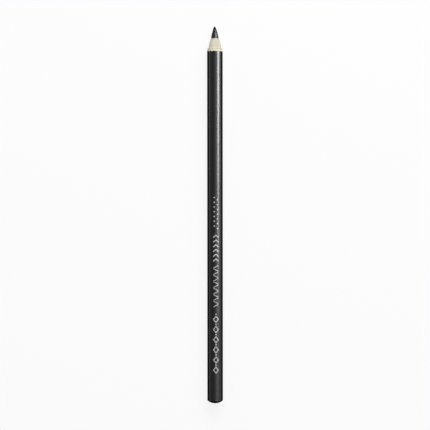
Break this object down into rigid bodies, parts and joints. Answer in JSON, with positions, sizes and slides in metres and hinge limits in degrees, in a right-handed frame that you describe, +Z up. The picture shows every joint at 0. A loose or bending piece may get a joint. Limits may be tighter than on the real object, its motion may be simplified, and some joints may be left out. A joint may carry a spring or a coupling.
{
  "type": "kohl pencil",
  "caption": "Round wood-cased kohl pencil, sharpened to a soft black core, with a black lacquered barrel and a domed dipped end.",
  "frame": {"origin": "under the middle of the pencil, on the surface that it lies on", "axes": "+Y along the pencil towards its point, +Z up, +X to the right of a viewer who looks down with the point away from them"},
  "size_m": [0.0072, 0.175, 0.0072],
  "materials": {
    "kohl": "soft waxy black",
    "casing_wood": "bare pale fine-grained wood, blade-cut",
    "glue": "dried glue line",
    "primer": "matt cream undercoat",
    "black_lacquer": "satin-gloss black lacquer",
    "silver_foil": "thin stamped silver foil ornament on the lacquer"
  },
  "bodies": {
    "root": {"kohl_core": "kohl", "upper_casing_half": "casing_wood", "lower_casing_half": "casing_wood", "left_glue_film": "glue", "right_glue_film": "glue", "primer_coat": "primer", "lacquer_coat": "black_lacquer", "end_dip": "black_lacquer"}
  },
  "joints": []
}
